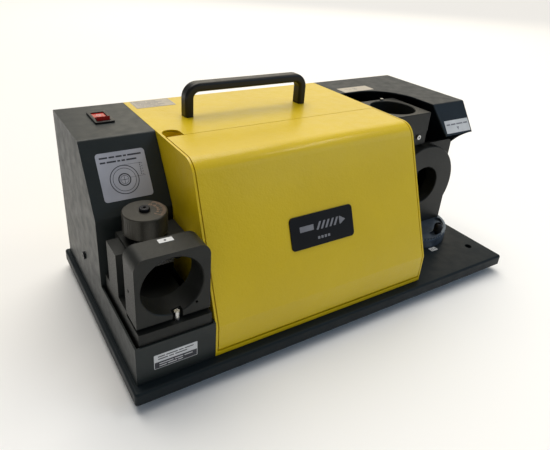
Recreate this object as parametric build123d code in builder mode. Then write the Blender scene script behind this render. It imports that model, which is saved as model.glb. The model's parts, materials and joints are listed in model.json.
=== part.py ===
"""Bench drill bit sharpener: a motor-driven conical wheel, a swivelling point port, a top port for web
thinning and a setting head with a graduated dial. Millimetres, +Z up, +Y to the back, origin under the
middle of the base plate at bench level."""

from build123d import *
import math
import os

os.makedirs("parts", exist_ok=True)

# ---------------------------------------------------------------- driving dimensions
# base plate and feet
base_length = 470.0
base_depth = 245.0
base_thickness = 12.0
base_corner = 3.0
base_edge = 2.5
foot_height = 10.0
foot_radius = 14.0
foot_inset = (100.0, 37.5)
bench_hole_radius = 4.25
bench_hole_inset = (21.0, 33.5)

# sheet metal housings
sheet = 1.5
housing_height = 169.0
left_width = 72.4
right_width = 135.1
left_margin = 5.2
right_margin = 1.0
front_margin = 9.6
rear_margin = 4.0
seam_gap = 0.4
bend = 3.0

# left housing
tray_depth = 93.4
tray_wall = 38.6
tower_kink = 108.1
tower_slope_run = 39.4

# yellow cover and its door
cover_lift = 0.6
cover_kink = 32.5
cover_slope_run = 52.6
cover_bend = 18.0
cover_side = 2.0
door_sheet = 1.6
door_gap = 1.0
sill_height = 4.4
seam_from_front = 112.9
hinge_pin_radius = 1.2
hinge_pin_length = 14.0
knuckle_radius = 2.4
knuckle_length = 12.0
notch_radius = 9.0
notch_from_side = 11.5
notch_length = 26.0
cup_depth = 9.0
vent_slot = (52.0, 4.0)
vent_rows = 6
vent_pitch = 11.0

# carrying handle
handle_length = 148.4
handle_depth = 14.0
handle_height = 34.5
handle_bar = 9.3
handle_corner = 16.0
handle_round = 3.0
handle_shift = -12.6
handle_from_front = 162.4

# name plate on the door
plate_size = (75.0, 32.0)
plate_thickness = 1.2
plate_corner = 4.0
plate_shift = -3.8
plate_up_slope = 62.5

# rocker switch
bezel_size = (19.4, 35.0)
bezel_height = 2.0
switch_body = (17.0, 30.0, 24.0)
rocker_width = 12.4
rocker_half = 12.4
rocker_tilt = 10.0
trunnion_radius = 1.5
switch_from_rear = 45.0

# setting head
port_bore = 27.0
head_width = 64.8
head_from_side = 4.0
block_depth = 25.0
block_bottom = 53.5
bore_height = 85.6
block_top_wall = 5.0
block_corner = 10.0
head_base_height = 50.0
platform_height = 54.0
platform_width = 52.8
pad_inset = 5.0
upright_size = (10.5, 26.0, 43.0)
upright_back = 49.4
bracket_leg = 6.9
bracket_depth = 32.0
bracket_drop = 19.0
bracket_width = 56.0
slide_width = 9.0
slide_height = 10.6
stop_plate = (26.0, 4.0, 16.0)
stop_gap = 3.0
stop_button_radius = 4.0
slide_cover_thickness = 2.0
tooth_module = 1.25
pinion_teeth = 12
backlash = 0.35
spindle_radius = 4.0
neck_radius = 11.5
neck_height = 6.7
knob_radius = 19.6
knob_height = 19.0
dial_from_bracket_front = 13.0

# grinding head
wheel_radius = 50.0
wheel_width = 26.0
wheel_land = 8.0
wheel_half_angle = 31.0
wheel_axis_height = 73.0
shaft_radius = 8.0
hub_radius = 20.0
hub_width = 12.0
nut_size = 13.0
nut_height = 9.0
guard_wall = 4.0
guard_floor_height = 15.5
guard_past_swivel = 23.0
throat_wall = 3.0
throat_drop = 17.0
top_port_bore = 26.5
top_port_size = (63.4, 65.2, 22.7)
top_port_drop = 6.0
top_port_from_seam = 38.0
top_port_from_wheel = 46.9
top_port_screws = (48.0, 46.0)
port_pin_offset = (9.0, 28.9)

# swivelling point port
swivel_radius = 50.6
swivel_base_height = 10.7
swivel_plate_thickness = 3.0
swivel_gap = 0.3
swivel_from_wheel = 72.0
swivel_from_right = 62.0
swivel_screw_circle = 43.0
pivot_radius = 8.0
seat_radius = 51.5
seat_bore = 24.2
seat_height = 69.5
seat_front = 14.0
seat_thickness = 13.0
neck_half_width = 45.0
shield_size = (106.0, 100.0)
shield_thickness = 4.0
shield_corner = 6.0
slot_radius = 43.5
slot_half_width = 4.2
slot_angles = (-86.0, -25.0)
clamp_angle = -72.0

# right housing
arch_reach = 79.8
arch_back = 57.5
arch_corner = 50.0
flange_run = 23.2
flange_drop = 33.5
flange_front = 95.4
flange_taper = 8.0
side_cut_radius = 85.0

# motor
motor_radius = 55.0
motor_wall = 6.0
motor_rear_gap = 10.0
motor_length = 118.0
bell_length = 16.0
rotor_radius = 27.5
air_gap = 0.5
bearing_radius = 16.0
bearing_width = 10.0
fan_radius = 42.0
motor_foot = (22.0, 100.0, 8.0)
capacitor_radius = 16.0
capacitor_length = 60.0
capacitor_gap = 12.0

# fits and fasteners
running = 0.05
static = 0.02
screw_play = 0.05
m3 = 1.5
m4 = 2.0
m5 = 2.5
m6 = 3.0
m3_hole = m3 + screw_play
m4_hole = m4 + screw_play
m5_hole = m5 + screw_play
m6_hole = m6 + screw_play
base_screw_bite = 8.0
index_pin_radius = 2.5

# ---------------------------------------------------------------- shared places
base_top = foot_height + base_thickness
top = base_top + housing_height
x_left = -base_length / 2 + left_margin
x_seam_left = x_left + left_width
x_right = base_length / 2 - right_margin
x_seam_right = x_right - right_width
y_front = -base_depth / 2 + front_margin
y_rear = base_depth / 2 - rear_margin
cover_middle = (x_seam_left + x_seam_right) / 2

tower_front = y_front + tray_depth
tower_top_front = tower_front + tower_slope_run
tower_middle = x_left + (left_width - seam_gap) / 2

cover_bottom = base_top + cover_lift
cover_kink_z = base_top + cover_kink
cover_crest_y = y_front + cover_slope_run
seam_y = y_front + seam_from_front
door_left = x_seam_left + cover_side + door_gap
door_right = x_seam_right - cover_side - door_gap
sill_top = cover_bottom + sill_height
hinge_z = sill_top + knuckle_radius + 0.6
hinge_y = y_front + knuckle_radius

head_left = x_left + head_from_side
head_right = head_left + head_width
head_middle = (head_left + head_right) / 2
head_front = y_front + sheet + 0.5
block_front = y_front + 5.4
block_back = block_front + block_depth
bore_x = head_middle - 0.6
bore_z = base_top + bore_height
platform_top = base_top + platform_height
upright_front = y_front + upright_back + 2.0
bracket_top = platform_top + upright_size[2]
bracket_left = head_left + upright_size[0] + 0.6
bracket_front = upright_front + 5.0
bracket_back = bracket_front + bracket_depth
bracket_right = bracket_left + bracket_width
bracket_bottom = bracket_top - bracket_drop
dial_x = bore_x + 1.0
dial_y = bracket_front + dial_from_bracket_front

swivel_x = x_right - swivel_from_right
wheel_y = y_rear - motor_radius - motor_rear_gap
wheel_z = base_top + wheel_axis_height
swivel_y = wheel_y - swivel_from_wheel
port_top = top - top_port_drop
top_port_x = x_seam_right + top_port_from_seam
top_port_y = wheel_y - top_port_from_wheel
wheel_left = top_port_x + 4.0
wheel_right = wheel_left + wheel_width
hub_left = wheel_left - hub_width
nut_right = wheel_right + nut_height
guard_right = swivel_x + guard_past_swivel
guard_left = top_port_x - top_port_size[0] / 2 + 0.7
guard_front = wheel_y - wheel_radius - 5.0
throat_front = top_port_y - top_port_size[1] / 2 + 1.5
throat_right = top_port_x + top_port_size[0] / 2 - 0.7
guard_back = y_rear - 9.0
guard_floor = base_top + guard_floor_height
guard_top = port_top - top_port_size[2]
motor_right = guard_left
frame_right = motor_right - bell_length
frame_left = frame_right - motor_length
motor_left = frame_left - bell_length
fan_right = motor_left - 2.0
shaft_left = fan_right - 16.0
swivel_base_top = base_top + swivel_base_height
plate_bottom = swivel_base_top + swivel_gap
plate_top = plate_bottom + swivel_plate_thickness
seat_z = base_top + seat_height
seat_face = swivel_y - seat_front
seat_rear = seat_face + seat_thickness


# ---------------------------------------------------------------- helpers
def up_from(x, y, z):
    """Plane seen from above: a screw on it has its head on top."""
    return Plane(origin=(x, y, z), x_dir=(1, 0, 0), z_dir=(0, 0, 1))


def down_from(x, y, z):
    """Plane seen from below: a screw on it has its head underneath."""
    return Plane(origin=(x, y, z), x_dir=(1, 0, 0), z_dir=(0, 0, -1))


def facing(x, y, z, direction):
    """Plane through a point with its normal along a horizontal direction."""
    return Plane(origin=(x, y, z), x_dir=(0, 0, 1), z_dir=direction)


def socket_screws(places, shank, length, head=1.7, head_height=1.0, chamfered=False):
    """Socket-head screws seated on the given planes, as separate solids."""
    head_radius = shank * head
    depth = 2 * shank * head_height
    crowns = [place.offset(depth) for place in places]
    with BuildPart() as screws:
        with Locations(*places):
            Cylinder(head_radius, depth, align=(Align.CENTER, Align.CENTER, Align.MIN))
            Cylinder(shank, length, align=(Align.CENTER, Align.CENTER, Align.MAX))
        if chamfered:
            rims = screws.edges().filter_by(GeomType.CIRCLE).filter_by(
                lambda edge: min(abs(crown.to_local_coords(edge.arc_center).Z) for crown in crowns) < 1e-3
            )
            fillet(rims, depth * 0.35)
        with BuildSketch(*crowns):
            RegularPolygon(shank * 0.9, 6)
        extrude(amount=-depth * 0.55, mode=Mode.SUBTRACT)
    return screws.part


def screw_holes(places, radius, depth):
    """Plain holes into the active part, below each plane."""
    with Locations(*places):
        Hole(radius, depth)


def box_between(low, high, mode=Mode.ADD):
    """Axis-aligned box between two corners, in the active part."""
    size = [b - a for a, b in zip(low, high)]
    with Locations(tuple(low)):
        Box(*size, align=(Align.MIN, Align.MIN, Align.MIN), mode=mode)


def outline_sketch(points, rounds):
    """Closed outline whose numbered corners are rounded."""
    with BuildSketch() as outline:
        with BuildLine():
            Polyline(*points, close=True)
        make_face()
        for index, radius in rounds.items():
            corner = outline.vertices().sort_by_distance((points[index][0], points[index][1], 0))[0]
            fillet(corner, radius)
    return outline.sketch_local


def ring_of(outline, thickness):
    """Band just inside an outline."""
    with BuildSketch() as band:
        add(outline)
        offset(amount=-thickness, mode=Mode.SUBTRACT)
    return band.sketch_local


# ---------------------------------------------------------------- screw places
head_base_spots = [
    (head_left + 10, head_front + 8),
    (head_right - 10, head_front + 8),
    (head_left + 26, bracket_back - 8),
]
swivel_base_spots = [
    (swivel_x + swivel_screw_circle * math.cos(a), swivel_y + swivel_screw_circle * math.sin(a))
    for a in (math.pi / 2, math.pi * 7 / 6, math.pi * 11 / 6)
]
guard_foot_inset = 12.0
guard_foot = (18.0, 24.0)
guard_foot_xs = (guard_left + guard_foot_inset, guard_right - guard_foot_inset)
guard_base_spots = [(x, wheel_y + 10) for x in guard_foot_xs]
bracket_block = (20.0, 8.0, 44.0)
side_bracket_y = y_front + 151.4
side_screw_z = base_top + 39.4
rear_bracket_xs = [
    x_left + 12.0 + bracket_block[0] / 2,
    x_seam_left + 12.0 + bracket_block[0] / 2,
    x_seam_right - 12.0 - bracket_block[0] / 2,
    x_right - 6.0 - bracket_block[0] / 2,
]
side_bracket_x = x_left + sheet + bracket_block[1] / 2
rear_bracket_y = y_rear - sheet - bracket_block[1] / 2
bracket_spots = [(side_bracket_x, side_bracket_y)]
bracket_spots += [(x, rear_bracket_y) for x in rear_bracket_xs]
base_screw_spots = head_base_spots + swivel_base_spots + guard_base_spots + bracket_spots
base_screw_head = 2 * m6
base_screw_seat = foot_height + base_screw_head + 0.2
base_screw_length = base_top - base_screw_seat + base_screw_bite - 0.5
base_screw_places = [down_from(x, y, base_screw_seat) for x, y in base_screw_spots]
foot_spots = [
    (sx * (base_length / 2 - foot_inset[0]), sy * (base_depth / 2 - foot_inset[1]))
    for sx in (-1, 1)
    for sy in (-1, 1)
]
bench_spacing = (base_length - 2 * bench_hole_inset[0], base_depth - 2 * bench_hole_inset[1])
motor_foot_xs = [frame_left + 4, min(frame_right - 4, x_seam_right - cover_side - 3) - motor_foot[0]]
motor_foot_top = base_top + motor_foot[2]
motor_bolt_reach = motor_foot[1] / 2 - 12
motor_bolt_spots = [
    (x + motor_foot[0] / 2, wheel_y + side * motor_bolt_reach) for x in motor_foot_xs for side in (-1, 1)
]

# ---------------------------------------------------------------- base plate
with BuildPart() as base_plate:
    with BuildSketch(Plane.XY.offset(foot_height)):
        RectangleRounded(base_length, base_depth, base_corner)
    extrude(amount=base_thickness)
    rim = base_plate.faces().sort_by(Axis.Z)[-1].edges()
    fillet(rim, base_edge)
    with Locations(up_from(0, 0, base_top)):
        with GridLocations(*bench_spacing, 2, 2):
            Hole(bench_hole_radius, base_thickness)
    with Locations(*[down_from(x, y, foot_height) for x, y in base_screw_spots]):
        CounterBoreHole(m6_hole, 1.7 * m6 + 0.3, base_screw_head + 0.2, base_thickness)
    screw_holes([down_from(x, y, foot_height) for x, y in foot_spots], m5_hole, base_thickness - 3)
    screw_holes([up_from(x, y, base_top) for x, y in motor_bolt_spots], m6_hole, base_thickness - 2)
base_plate.part.label = "base_plate"
export_step(base_plate.part, "parts/base_plate.step")

base_screws = socket_screws(base_screw_places, m6, base_screw_length)
base_screws.label = "base_screws"
export_step(base_screws, "parts/base_screws.step")

# ---------------------------------------------------------------- rubber feet
foot_recess = foot_height * 0.6
with BuildPart() as rubber_feet:
    with Locations(*[(x, y, 0) for x, y in foot_spots]):
        Cone(
            foot_radius - 1.5,
            foot_radius,
            foot_height,
            align=(Align.CENTER, Align.CENTER, Align.MIN),
        )
    with Locations(*[down_from(x, y, 0) for x, y in foot_spots]):
        CounterBoreHole(m5 + 0.3, 1.8 * m5 + 0.5, foot_recess, foot_height)
rubber_feet.part.label = "rubber_feet"
export_step(rubber_feet.part, "parts/rubber_feet.step")

foot_screws = socket_screws(
    [down_from(x, y, foot_recess) for x, y in foot_spots],
    m5,
    foot_height - foot_recess + base_thickness - 4,
    head=1.8,
    head_height=0.7,
)
foot_screws.label = "foot_screws"
export_step(foot_screws, "parts/foot_screws.step")

# ---------------------------------------------------------------- left housing
tower_points = [
    (tower_front, base_top),
    (tower_front, base_top + tower_kink),
    (tower_top_front, top),
    (y_rear, top),
    (y_rear, base_top),
]
tower_outline = outline_sketch(tower_points, {1: bend, 2: bend, 3: bend})
tower_width = left_width - seam_gap
switch_y = y_rear - switch_from_rear
inlet_z = base_top + 70.0
inlet_plane = facing(tower_middle, y_rear, inlet_z, (0, 1, 0))
inlet_cut = (28.0, 20.5)
inlet_pitch = 40.0
inlet_flange = 2.5
inlet_screw_places = [
    facing(tower_middle + s * inlet_pitch / 2, y_rear + inlet_flange, inlet_z, (0, 1, 0)) for s in (-1, 1)
]

with BuildPart() as left_housing:
    with BuildSketch(Plane.YZ.offset(x_left)):
        add(tower_outline)
    extrude(amount=tower_width)
    floor_face = left_housing.faces().sort_by(Axis.Z)[0]
    offset(amount=-sheet, openings=floor_face)
    with BuildSketch(Plane.XY.offset(base_top)):
        with Locations((tower_middle, (y_front + tower_front + sheet) / 2)):
            Rectangle(tower_width, tray_depth + sheet)
        with Locations((tower_middle, (y_front + tower_front + sheet) / 2)):
            Rectangle(tower_width - 2 * sheet, tray_depth - sheet, mode=Mode.SUBTRACT)
    extrude(amount=tray_wall)
    box_between(
        (tower_middle - switch_body[0] / 2 - 0.2, switch_y - switch_body[1] / 2 - 0.2, top - 2 * sheet),
        (tower_middle + switch_body[0] / 2 + 0.2, switch_y + switch_body[1] / 2 + 0.2, top + sheet),
        mode=Mode.SUBTRACT,
    )
    with BuildSketch(inlet_plane.offset(-2 * sheet)):
        Rectangle(inlet_cut[1], inlet_cut[0])
    extrude(amount=4 * sheet, mode=Mode.SUBTRACT)
    screw_holes(inlet_screw_places, m3_hole, 2 * sheet + inlet_flange)
    screw_holes([facing(x_left, side_bracket_y, side_screw_z, (-1, 0, 0))], m4_hole, 2 * sheet)
    screw_holes([facing(rear_bracket_xs[0], y_rear, side_screw_z - 20, (0, 1, 0))], m4_hole, 2 * sheet)
left_housing.part.label = "left_housing"
export_step(left_housing.part, "parts/left_housing.step")

# ---------------------------------------------------------------- brackets that hold the sheet metal
cover_screw_places = [facing(x_left, side_bracket_y, side_screw_z, (-1, 0, 0))]
cover_screw_places += [facing(x, y_rear, side_screw_z - 20, (0, 1, 0)) for x in rear_bracket_xs]
with BuildPart() as housing_brackets:
    with Locations((side_bracket_x, side_bracket_y, base_top)):
        Box(
            bracket_block[1],
            bracket_block[0],
            bracket_block[2],
            align=(Align.CENTER, Align.CENTER, Align.MIN),
        )
    with Locations(*[(x, rear_bracket_y, base_top) for x in rear_bracket_xs]):
        Box(*bracket_block, align=(Align.CENTER, Align.CENTER, Align.MIN))
    screw_holes([down_from(x, y, base_top) for x, y in bracket_spots], m6_hole, base_screw_bite)
    screw_holes(cover_screw_places, m4_hole, bracket_block[1] - 1)
housing_brackets.part.label = "housing_brackets"
export_step(housing_brackets.part, "parts/housing_brackets.step")

cover_screws = socket_screws(cover_screw_places, m4, 7.0, head=2.0, head_height=0.55, chamfered=True)
cover_screws.label = "cover_screws"
export_step(cover_screws, "parts/cover_screws.step")

# ---------------------------------------------------------------- rocker switch
pivot_z = top + bezel_height - 4.0
rocker_top = 3.0
rocker_rise = rocker_half * math.tan(math.radians(rocker_tilt))
opening_half = math.hypot(rocker_half, rocker_top + rocker_rise) + 0.2
with BuildPart() as switch_bezel:
    with BuildSketch(Plane.XY.offset(top)):
        with Locations((tower_middle, switch_y)):
            RectangleRounded(*bezel_size, 2.0)
    extrude(amount=bezel_height)
    fillet(switch_bezel.faces().sort_by(Axis.Z)[-1].edges(), 0.8)
    box_between(
        (tower_middle - switch_body[0] / 2, switch_y - switch_body[1] / 2, top - switch_body[2]),
        (tower_middle + switch_body[0] / 2, switch_y + switch_body[1] / 2, top),
    )
    box_between(
        (tower_middle - rocker_width / 2 - 0.4, switch_y - opening_half, pivot_z - 6.5),
        (tower_middle + rocker_width / 2 + 0.4, switch_y + opening_half, top + bezel_height + 1),
        mode=Mode.SUBTRACT,
    )
    with BuildSketch(Plane.YZ.offset(tower_middle - rocker_width / 2 - 1.4)):
        with Locations((switch_y, pivot_z)):
            Circle(trunnion_radius + running)
    extrude(amount=rocker_width + 2.8, mode=Mode.SUBTRACT)
    with Locations(*[(tower_middle + s * 4.2, switch_y, top - switch_body[2]) for s in (-1, 1)]):
        Box(0.8, 6.3, 8.0, align=(Align.CENTER, Align.CENTER, Align.MAX))
switch_bezel.part.label = "switch_bezel"
export_step(switch_bezel.part, "parts/switch_bezel.step")

tilt = math.radians(rocker_tilt)
rocker_plane = Plane(
    origin=(tower_middle - rocker_width / 2, switch_y, pivot_z),
    x_dir=(0, math.cos(tilt), -math.sin(tilt)),
    z_dir=(1, 0, 0),
)
with BuildPart() as switch_rocker:
    with BuildSketch(rocker_plane):
        with BuildLine():
            Polyline(
                (-rocker_half, rocker_top + rocker_rise),
                (0, rocker_top),
                (rocker_half, rocker_top + rocker_rise),
                (rocker_half - 1.0, -3.0),
                (1.0 - rocker_half, -3.0),
                close=True,
            )
        make_face()
    extrude(amount=rocker_width)
    with BuildSketch(rocker_plane.offset(-1.2)):
        Circle(trunnion_radius)
    extrude(amount=rocker_width + 2.4)
switch_rocker.part.label = "switch_rocker"
export_step(switch_rocker.part, "parts/switch_rocker.step")

# ---------------------------------------------------------------- appliance inlet at the back of the tower
inlet_depth = 20.0
inlet_mouth_depth = 17.0
with BuildPart() as power_inlet:
    with BuildSketch(inlet_plane):
        RectangleRounded(22.5, 50.0, 4.0)
    extrude(amount=inlet_flange)
    with BuildSketch(inlet_plane):
        Rectangle(inlet_cut[1] - 0.5, inlet_cut[0] - 0.5)
    extrude(amount=-inlet_depth)
    with BuildSketch(inlet_plane.offset(inlet_flange)):
        RectangleRounded(16.5, 24.0, 3.0)
    extrude(amount=-inlet_mouth_depth, mode=Mode.SUBTRACT)
    screw_holes(inlet_screw_places, m3_hole, 6)
power_inlet.part.label = "power_inlet"
export_step(power_inlet.part, "parts/power_inlet.step")

blade_bottom = inlet_plane.offset(inlet_flange - inlet_mouth_depth)
with BuildPart() as inlet_blades:
    with BuildSketch(blade_bottom):
        with Locations((2.0, 0), (-2.0, -7.0), (-2.0, 7.0)):
            Rectangle(4.0, 2.0)
    extrude(amount=9.5)
inlet_blades.part.label = "inlet_blades"
export_step(inlet_blades.part, "parts/inlet_blades.step")

inlet_screws = socket_screws(inlet_screw_places, m3, 7.0, head=1.8, head_height=0.4)
inlet_screws.label = "inlet_screws"
export_step(inlet_screws, "parts/inlet_screws.step")

# ---------------------------------------------------------------- yellow cover body
cover_points = [
    (y_front, cover_bottom),
    (y_front, cover_kink_z),
    (cover_crest_y, top),
    (y_rear, top),
    (y_rear, cover_bottom),
]
cover_outline = outline_sketch(cover_points, {1: bend, 2: cover_bend, 3: bend})
cover_band = ring_of(cover_outline, sheet)
door_band = ring_of(cover_outline, door_sheet)
stop_depth = door_sheet + 0.5
notch_x = x_seam_left + notch_from_side
notch_y = seam_y + notch_radius / 2
handle_x = cover_middle + handle_shift
handle_y = y_front + handle_from_front
handle_pitch = handle_length - handle_bar
handle_screw_places = [down_from(handle_x + s * handle_pitch / 2, handle_y, top - sheet) for s in (-1, 1)]
vent_z = base_top + 90.0
hinge_spots = [(x_seam_left, 1), (x_seam_right, -1)]

with BuildSketch() as stop_band:
    add(cover_outline)
    offset(amount=-stop_depth, mode=Mode.REPLACE)
    offset(amount=-sheet, mode=Mode.SUBTRACT)
    with Locations((y_front, hinge_z + 8)):
        Rectangle(seam_from_front + 10, 2 * housing_height, align=(Align.MIN, Align.MIN), mode=Mode.INTERSECT)

with BuildPart() as cover_body:
    for wall_x in (x_seam_left, x_seam_right - cover_side):
        with BuildSketch(Plane.YZ.offset(wall_x)):
            add(cover_outline)
        extrude(amount=cover_side)
    with BuildSketch(Plane.YZ.offset(x_seam_left)):
        add(cover_band)
        with Locations((seam_y, cover_bottom + cover_side)):
            Rectangle(base_depth, 2 * housing_height, align=(Align.MIN, Align.MIN), mode=Mode.INTERSECT)
    extrude(amount=x_seam_right - x_seam_left)
    box_between((x_seam_left, y_front, cover_bottom), (x_seam_right, y_front + cover_side, sill_top))
    for stop_x in (x_seam_left + cover_side, x_seam_right - cover_side - 9):
        with BuildSketch(Plane.YZ.offset(stop_x)):
            add(stop_band.sketch_local)
        extrude(amount=9)
    box_between(
        (x_seam_left + cover_side, seam_y - 9, top - stop_depth - sheet),
        (x_seam_right - cover_side, seam_y + 12, top - stop_depth),
    )
    box_between(
        (x_seam_left + cover_side, seam_y + 10, top - stop_depth - sheet),
        (x_seam_right - cover_side, seam_y + 12, top),
    )
    with BuildSketch(Plane.XY.offset(top - stop_depth - cup_depth)):
        with Locations((notch_x, notch_y)):
            SlotOverall(notch_length + 2 * sheet, 2 * (notch_radius + sheet), rotation=90)
    extrude(amount=cup_depth)
    with BuildSketch(Plane.XY.offset(top - stop_depth - cup_depth + sheet)):
        with Locations((notch_x, notch_y)):
            SlotOverall(notch_length, 2 * notch_radius, rotation=90)
    extrude(amount=cup_depth + stop_depth, mode=Mode.SUBTRACT)
    with BuildSketch(Plane.XZ.offset(-y_rear - 1)):
        with Locations((x_seam_left + 70, vent_z), (x_seam_right - 70, vent_z)):
            with GridLocations(0, vent_pitch, 1, vent_rows):
                SlotOverall(*vent_slot)
    extrude(amount=2 * cover_side, mode=Mode.SUBTRACT)
    with BuildSketch(Plane.YZ.offset(x_seam_right - 2 * cover_side)):
        with Locations((wheel_y, wheel_z)):
            Circle(motor_radius + 2.5)
        with Locations((wheel_y, wheel_z)):
            Rectangle(2 * motor_radius + 5, base_depth, align=(Align.CENTER, Align.MAX))
    extrude(amount=3 * cover_side, mode=Mode.SUBTRACT)
    screw_holes([up_from(p.origin.X, p.origin.Y, top) for p in handle_screw_places], m5 + 0.2, 2 * sheet)
    screw_holes(cover_screw_places[2:4], m4_hole, 2 * cover_side)
    for pin_x, inward in hinge_spots:
        pin_place = facing(pin_x, hinge_y, hinge_z, (-inward, 0, 0))
        screw_holes([pin_place], hinge_pin_radius + static, cover_side + 1)
cover_body.part.label = "cover_body"
export_step(cover_body.part, "parts/cover_body.step")

with BuildPart() as hinge_pins:
    for pin_x, inward in hinge_spots:
        with BuildSketch(Plane.YZ.offset(pin_x)):
            with Locations((hinge_y, hinge_z)):
                Circle(hinge_pin_radius)
        extrude(amount=inward * hinge_pin_length)
hinge_pins.part.label = "hinge_pins"
export_step(hinge_pins.part, "parts/hinge_pins.step")

# ---------------------------------------------------------------- front door
with BuildPart() as front_door:
    with BuildSketch(Plane.YZ.offset(door_left)):
        add(door_band)
        with Locations((y_front, hinge_z - 1.2)):
            Rectangle(
                seam_from_front - 0.8, 2 * housing_height, align=(Align.MIN, Align.MIN), mode=Mode.INTERSECT
            )
    extrude(amount=door_right - door_left)
    for knuckle_x, inward in ((door_left, 1), (door_right, -1)):
        with BuildSketch(Plane.YZ.offset(knuckle_x)):
            with Locations((hinge_y, hinge_z)):
                Circle(knuckle_radius)
            with Locations((y_front, hinge_z)):
                Rectangle(door_sheet, knuckle_radius + 3, align=(Align.MIN, Align.MIN))
        extrude(amount=inward * knuckle_length)
        with BuildSketch(Plane.YZ.offset(knuckle_x)):
            with Locations((hinge_y, hinge_z)):
                Circle(hinge_pin_radius + running)
        extrude(amount=inward * hinge_pin_length, mode=Mode.SUBTRACT)
front_door.part.label = "front_door"
export_step(front_door.part, "parts/front_door.step")

slope_angle = math.atan2(cover_slope_run, top - cover_kink_z)
slope_normal = (0, -math.cos(slope_angle), math.sin(slope_angle))
slope_plane = Plane(origin=(cover_middle, y_front, cover_kink_z), x_dir=(1, 0, 0), z_dir=slope_normal)
with BuildPart() as name_plate:
    with BuildSketch(slope_plane):
        with Locations((plate_shift, plate_up_slope)):
            RectangleRounded(*plate_size, plate_corner)
    extrude(amount=plate_thickness)
    chamfer(name_plate.faces().sort_by(Axis(slope_plane.origin, slope_plane.z_dir))[-1].edges(), 0.4)
name_plate.part.label = "name_plate"
export_step(name_plate.part, "parts/name_plate.step")

# ---------------------------------------------------------------- carrying handle
with BuildPart() as handle:
    with BuildSketch(Plane.XZ.offset(-handle_y)) as bow:
        with Locations((handle_x, top)):
            Rectangle(handle_length, handle_height, align=(Align.CENTER, Align.MIN))
        fillet(bow.vertices().group_by(Axis.Y)[-1], handle_corner)
        inner = outline_sketch(
            [
                (handle_x - handle_length / 2 + handle_bar, top - 1),
                (handle_x - handle_length / 2 + handle_bar, top + handle_height - handle_bar),
                (handle_x + handle_length / 2 - handle_bar, top + handle_height - handle_bar),
                (handle_x + handle_length / 2 - handle_bar, top - 1),
            ],
            {1: handle_corner - handle_bar, 2: handle_corner - handle_bar},
        )
        add(inner, mode=Mode.SUBTRACT)
    extrude(amount=handle_depth / 2, both=True)
    long_edges = handle.edges().filter_by(
        lambda edge: abs(abs(edge.center().Y - handle_y) - handle_depth / 2) < 0.01
        and edge.center().Z > top + 1
    )
    fillet(long_edges, handle_round)
    screw_holes([down_from(p.origin.X, p.origin.Y, top) for p in handle_screw_places], m5_hole, 14)
handle.part.label = "handle"
export_step(handle.part, "parts/handle.step")

handle_screws = socket_screws(handle_screw_places, m5, sheet + 13, head=1.9, head_height=0.6)
handle_screws.label = "handle_screws"
export_step(handle_screws, "parts/handle_screws.step")

# ---------------------------------------------------------------- collet tray behind the door
tray_front = y_front + 22.0
tray_back = min(guard_front - 8.0, wheel_y - motor_radius - 8.0)
tray_left = door_left + 10.0
tray_right = door_right - 10.0
with BuildPart() as collet_tray:
    box_between((tray_left, tray_front, base_top), (tray_right, tray_back, base_top + 30.0))
    offset(amount=-sheet, openings=collet_tray.faces().sort_by(Axis.Z)[-1])
    box_between(
        (cover_middle - sheet / 2, tray_front, base_top),
        (cover_middle + sheet / 2, tray_back, base_top + 24.0),
    )
collet_tray.part.label = "collet_tray"
export_step(collet_tray.part, "parts/collet_tray.step")

# ---------------------------------------------------------------- setting head
block_base_z = base_top + block_bottom
block_top_z = bore_z + port_bore + block_top_wall
pin_x = bore_x + 3.5
pin_y = block_front + index_pin_radius
pad_top = block_base_z
block_screw_places = [
    down_from(x, block_back - 8, base_top + 8) for x in (head_left + 6.5, head_right - 6.5)
]
block_screw_length = block_base_z - base_top - 8 + 14
upright_right = head_left + upright_size[0]
bracket_screw_z = platform_top + 12
bracket_screw_places = [
    facing(bracket_left + bracket_leg, bracket_front + t, bracket_screw_z, (1, 0, 0)) for t in (7, 17)
]
cover_plate_spots = [
    (bracket_left + bracket_leg + 5, bracket_back - 4),
    (bracket_right - 8, bracket_front + 6),
    (bracket_right - 8, bracket_back - 6),
]
slide_cover_bottom = bracket_bottom - slide_cover_thickness
slide_screw_places = [down_from(x, y, slide_cover_bottom) for x, y in cover_plate_spots]

with BuildPart() as setting_base:
    box_between((head_left, head_front, base_top), (head_right, block_back, base_top + head_base_height))
    box_between(
        (head_left + 2, block_front + pad_inset, base_top),
        (head_right - 2, block_back, pad_top),
    )
    box_between(
        (head_left, block_back, base_top), (head_left + platform_width, bracket_back + 1, platform_top)
    )
    box_between(
        (head_left, upright_front, platform_top - 1),
        (upright_right, upright_front + upright_size[1], platform_top + upright_size[2]),
    )
    screw_holes([down_from(x, y, base_top) for x, y in head_base_spots], m6_hole, base_screw_bite)
    with Locations(*[down_from(p.origin.X, p.origin.Y, base_top) for p in block_screw_places]):
        CounterBoreHole(m5_hole, 1.7 * m5 + 0.3, 8, block_base_z - base_top + 1)
    screw_holes([up_from(pin_x, pin_y, base_top + head_base_height)], index_pin_radius + static, 8)
    screw_holes(
        [facing(upright_right, p.origin.Y, p.origin.Z, (1, 0, 0)) for p in bracket_screw_places],
        m4_hole,
        upright_size[0] - 2,
    )
setting_base.part.label = "setting_base"
export_step(setting_base.part, "parts/setting_base.step")

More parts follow.
